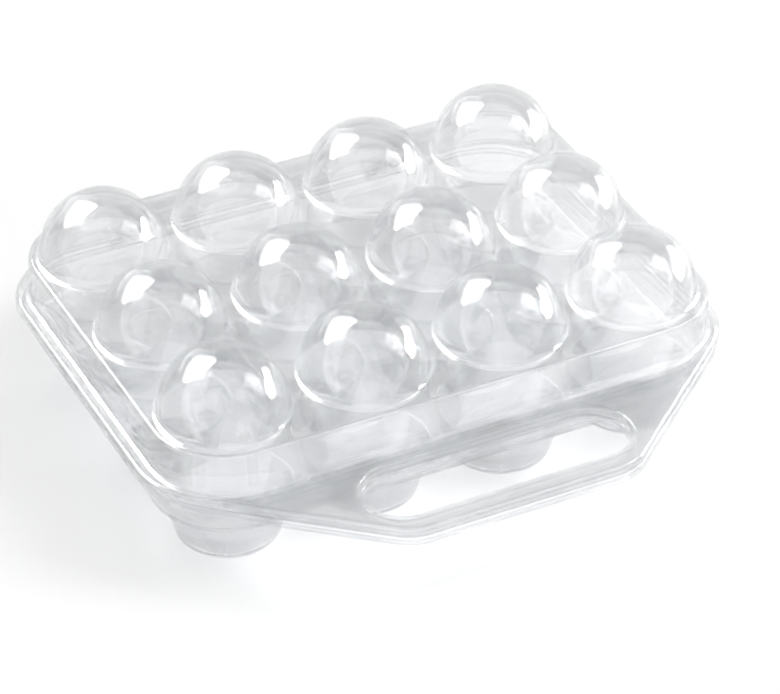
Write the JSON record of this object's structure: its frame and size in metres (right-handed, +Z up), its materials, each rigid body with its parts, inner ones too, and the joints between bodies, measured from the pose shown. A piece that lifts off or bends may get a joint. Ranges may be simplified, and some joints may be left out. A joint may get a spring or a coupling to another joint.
{
  "type": "egg keeper",
  "caption": "Clear egg keeper: a tray with round egg cups, closed by a domed lid that flips up on a rear hinge, with a finger slot in its front handle.",
  "frame": {"origin": "on the table under the middle of the keeper's whole width and depth, level with the feet of the egg cups", "axes": "+Z up, +Y to the hinge at the back, so the handle points to -Y, and +X to the right seen from the handle"},
  "size_m": [0.2378, 0.228, 0.0803],
  "materials": {
    "tray_plastic": "polished clear plastic",
    "lid_plastic": "polished clear plastic"
  },
  "bodies": {
    "tray": {"base_tray": "tray_plastic"},
    "lid": {"lid_cover": "lid_plastic"}
  },
  "joints": [
    {"name": "lid_hinge", "type": "hinge", "parent": "tray", "child": "lid", "pos_m": [0, 0.11057, 0.03455], "axis": [-1, 0, 0], "range_deg": [0, 110]}
  ]
}
